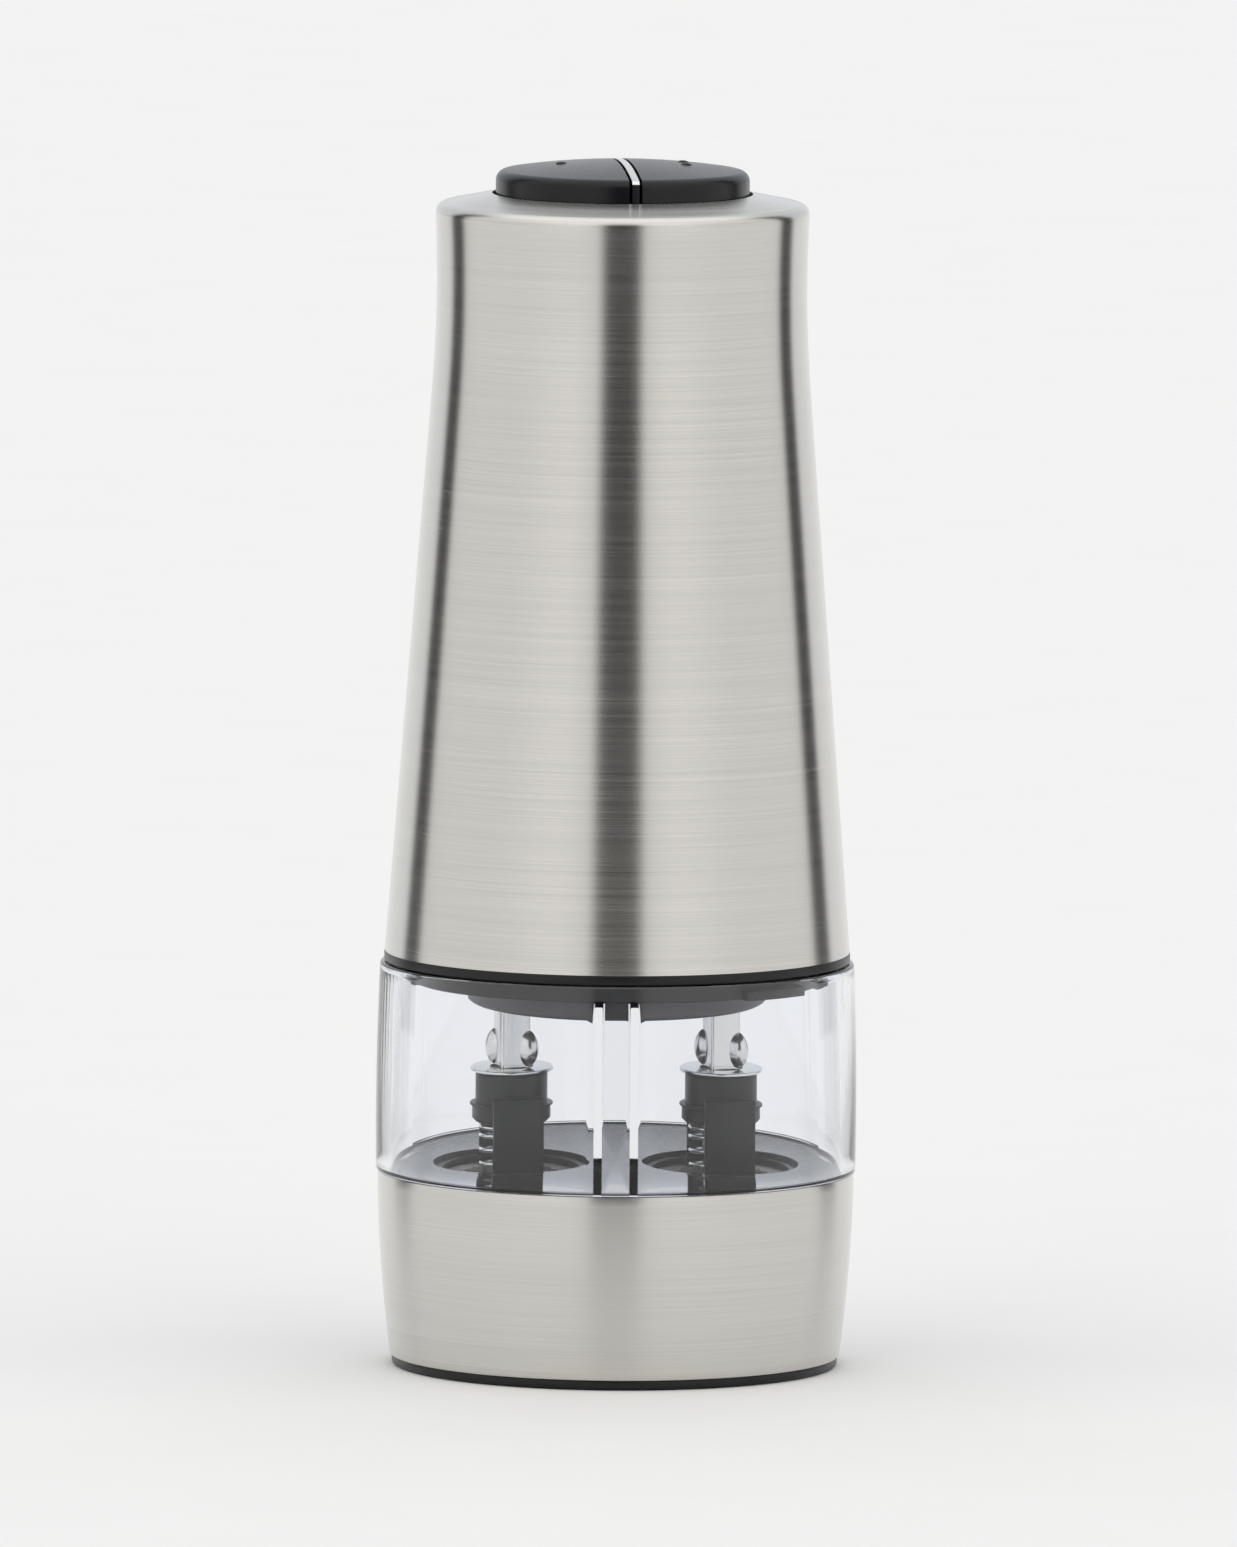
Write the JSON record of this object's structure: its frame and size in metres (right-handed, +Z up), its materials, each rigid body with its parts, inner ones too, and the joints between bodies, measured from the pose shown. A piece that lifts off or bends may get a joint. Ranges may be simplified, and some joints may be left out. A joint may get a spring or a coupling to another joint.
{
  "type": "electric salt and pepper mill",
  "caption": "Tapered brushed-steel battery mill with push buttons, a clear split spice chamber with visible grinding shafts, and a steel-skirted base.",
  "frame": {"origin": "centre of the base's underside", "axes": "+Z up along the mill's axis, salt at -X and pepper at +X, front towards -Y"},
  "size_m": [0.082, 0.082, 0.2057],
  "materials": {
    "brushed_steel": "fine circumferential brushing",
    "clear_plastic": "clear, polished",
    "black_plastic": "moulded, slightly satin",
    "pale_plastic": "pale grey, moulded",
    "button_plastic": "black, satin moulded",
    "bright_steel": "bright plated",
    "ceramic": "unglazed white",
    "gear_plastic": "natural acetal",
    "grey_plastic": "moulded",
    "zinc_steel": "zinc plated",
    "brass": "plain",
    "cell_wrap": "plain dark sleeve",
    "board_green": "lacquered",
    "switch_black": "moulded"
  },
  "bodies": {
    "chamber": {"spice_chamber": "clear_plastic", "lower_skirt": "brushed_steel", "base_body": "pale_plastic", "base_cover": "black_plastic", "base_screws": "zinc_steel", "salt_bridge": "black_plastic", "salt_bush": "black_plastic", "salt_outer_burr": "ceramic", "pepper_bridge": "black_plastic", "pepper_bush": "black_plastic", "pepper_outer_burr": "ceramic"},
    "power_core": {"drive_plate": "black_plastic", "gearbox_housing": "grey_plastic", "housing_screws": "zinc_steel", "gear_pins": "zinc_steel", "battery_holder": "grey_plastic", "battery_1": "cell_wrap", "battery_2": "cell_wrap", "battery_3": "cell_wrap", "battery_4": "cell_wrap", "battery_contacts_lower": "brass", "battery_contacts_upper": "brass", "battery_cap": "grey_plastic", "circuit_board": "board_green", "salt_motor": "zinc_steel", "salt_switch": "switch_black", "pepper_motor": "zinc_steel", "pepper_switch": "switch_black"},
    "upper_unit": {"upper_shell": "brushed_steel", "lock_ring": "black_plastic", "button_bezel": "black_plastic", "button_rib": "bright_steel", "salt_button_spring": "bright_steel", "pepper_button_spring": "bright_steel"},
    "salt_shaft_unit": {"salt_shaft": "bright_steel", "salt_washer": "bright_steel", "salt_spring": "bright_steel"},
    "salt_burr": {"salt_inner_burr": "ceramic"},
    "salt_coarseness_knob": {"salt_knob": "black_plastic"},
    "salt_output": {"salt_output_gear": "gear_plastic"},
    "salt_second": {"salt_second_gear": "gear_plastic"},
    "salt_first": {"salt_first_gear": "gear_plastic"},
    "salt_rotor": {"salt_pinion": "brass", "salt_motor_shaft": "bright_steel"},
    "salt_push": {"salt_button": "button_plastic", "salt_button_foot": "grey_plastic"},
    "pepper_shaft_unit": {"pepper_shaft": "bright_steel", "pepper_washer": "bright_steel", "pepper_spring": "bright_steel"},
    "pepper_burr": {"pepper_inner_burr": "ceramic"},
    "pepper_coarseness_knob": {"pepper_knob": "black_plastic"},
    "pepper_output": {"pepper_output_gear": "gear_plastic"},
    "pepper_second": {"pepper_second_gear": "gear_plastic"},
    "pepper_first": {"pepper_first_gear": "gear_plastic"},
    "pepper_rotor": {"pepper_pinion": "brass", "pepper_motor_shaft": "bright_steel"},
    "pepper_push": {"pepper_button": "button_plastic", "pepper_button_foot": "grey_plastic"}
  },
  "joints": [
    {"name": "lift_off", "type": "slide", "parent": "chamber", "child": "power_core", "axis": [0, 0, 1], "range_m": [0, 0.1]},
    {"name": "shell_twist", "type": "hinge", "parent": "power_core", "child": "upper_unit", "pos_m": [0, 0, 0.07], "axis": [0, 0, 1], "range_deg": [0, 25]},
    {"name": "salt_shaft_spin", "type": "hinge", "parent": "chamber", "child": "salt_shaft_unit", "pos_m": [-0.018, 0, 0.045], "axis": [0, 0, 1], "continuous": true},
    {"name": "salt_burr_feed", "type": "slide", "parent": "salt_shaft_unit", "child": "salt_burr", "axis": [0, 0, 1], "range_m": [0, 0.00075], "deforming": ["salt_spring"]},
    {"name": "salt_knob_turn", "type": "hinge", "parent": "salt_burr", "child": "salt_coarseness_knob", "pos_m": [-0.018, 0, 0.01], "axis": [0, 0, 1], "range_deg": [0, 270]},
    {"name": "salt_output_spin", "type": "hinge", "parent": "power_core", "child": "salt_output", "pos_m": [-0.018, 0, 0.07], "axis": [0, 0, 1], "continuous": true},
    {"name": "salt_second_spin", "type": "hinge", "parent": "power_core", "child": "salt_second", "pos_m": [-0.018, -0.0117, 0.075], "axis": [0, 0, 1], "continuous": true},
    {"name": "salt_first_spin", "type": "hinge", "parent": "power_core", "child": "salt_first", "pos_m": [-0.00787, -0.00585, 0.08], "axis": [0, 0, 1], "continuous": true},
    {"name": "salt_rotor_spin", "type": "hinge", "parent": "power_core", "child": "salt_rotor", "pos_m": [-0.018, 0, 0.08], "axis": [0, 0, 1], "continuous": true},
    {"name": "salt_push", "type": "slide", "parent": "upper_unit", "child": "salt_push", "axis": [0, 0, -1], "range_m": [0, 0.002], "stiffness_N_per_m": 600, "springref_m": -0.002, "deforming": ["salt_button_spring"]},
    {"name": "pepper_shaft_spin", "type": "hinge", "parent": "chamber", "child": "pepper_shaft_unit", "pos_m": [0.018, 0, 0.045], "axis": [0, 0, 1], "continuous": true},
    {"name": "pepper_burr_feed", "type": "slide", "parent": "pepper_shaft_unit", "child": "pepper_burr", "axis": [0, 0, 1], "range_m": [0, 0.00075], "deforming": ["pepper_spring"]},
    {"name": "pepper_knob_turn", "type": "hinge", "parent": "pepper_burr", "child": "pepper_coarseness_knob", "pos_m": [0.018, 0, 0.01], "axis": [0, 0, 1], "range_deg": [0, 270]},
    {"name": "pepper_output_spin", "type": "hinge", "parent": "power_core", "child": "pepper_output", "pos_m": [0.018, 0, 0.07], "axis": [0, 0, 1], "continuous": true},
    {"name": "pepper_second_spin", "type": "hinge", "parent": "power_core", "child": "pepper_second", "pos_m": [0.018, 0.0117, 0.075], "axis": [0, 0, 1], "continuous": true},
    {"name": "pepper_first_spin", "type": "hinge", "parent": "power_core", "child": "pepper_first", "pos_m": [0.00787, 0.00585, 0.08], "axis": [0, 0, 1], "continuous": true},
    {"name": "pepper_rotor_spin", "type": "hinge", "parent": "power_core", "child": "pepper_rotor", "pos_m": [0.018, 0, 0.08], "axis": [0, 0, 1], "continuous": true},
    {"name": "pepper_push", "type": "slide", "parent": "upper_unit", "child": "pepper_push", "axis": [0, 0, -1], "range_m": [0, 0.002], "stiffness_N_per_m": 600, "springref_m": -0.002, "deforming": ["pepper_button_spring"]}
  ],
  "couplings": [
    {"joint": "salt_knob_turn", "follows": "salt_burr_feed", "rad_per_m": 6283.2},
    {"joint": "salt_output_spin", "follows": "salt_shaft_spin", "ratio": 1},
    {"joint": "salt_second_spin", "follows": "salt_shaft_spin", "ratio": -3.3333},
    {"joint": "salt_first_spin", "follows": "salt_shaft_spin", "ratio": 11.111},
    {"joint": "salt_rotor_spin", "follows": "salt_shaft_spin", "ratio": -37.037},
    {"joint": "pepper_knob_turn", "follows": "pepper_burr_feed", "rad_per_m": 6283.2},
    {"joint": "pepper_output_spin", "follows": "pepper_shaft_spin", "ratio": 1},
    {"joint": "pepper_second_spin", "follows": "pepper_shaft_spin", "ratio": -3.3333},
    {"joint": "pepper_first_spin", "follows": "pepper_shaft_spin", "ratio": 11.111},
    {"joint": "pepper_rotor_spin", "follows": "pepper_shaft_spin", "ratio": -37.037}
  ]
}
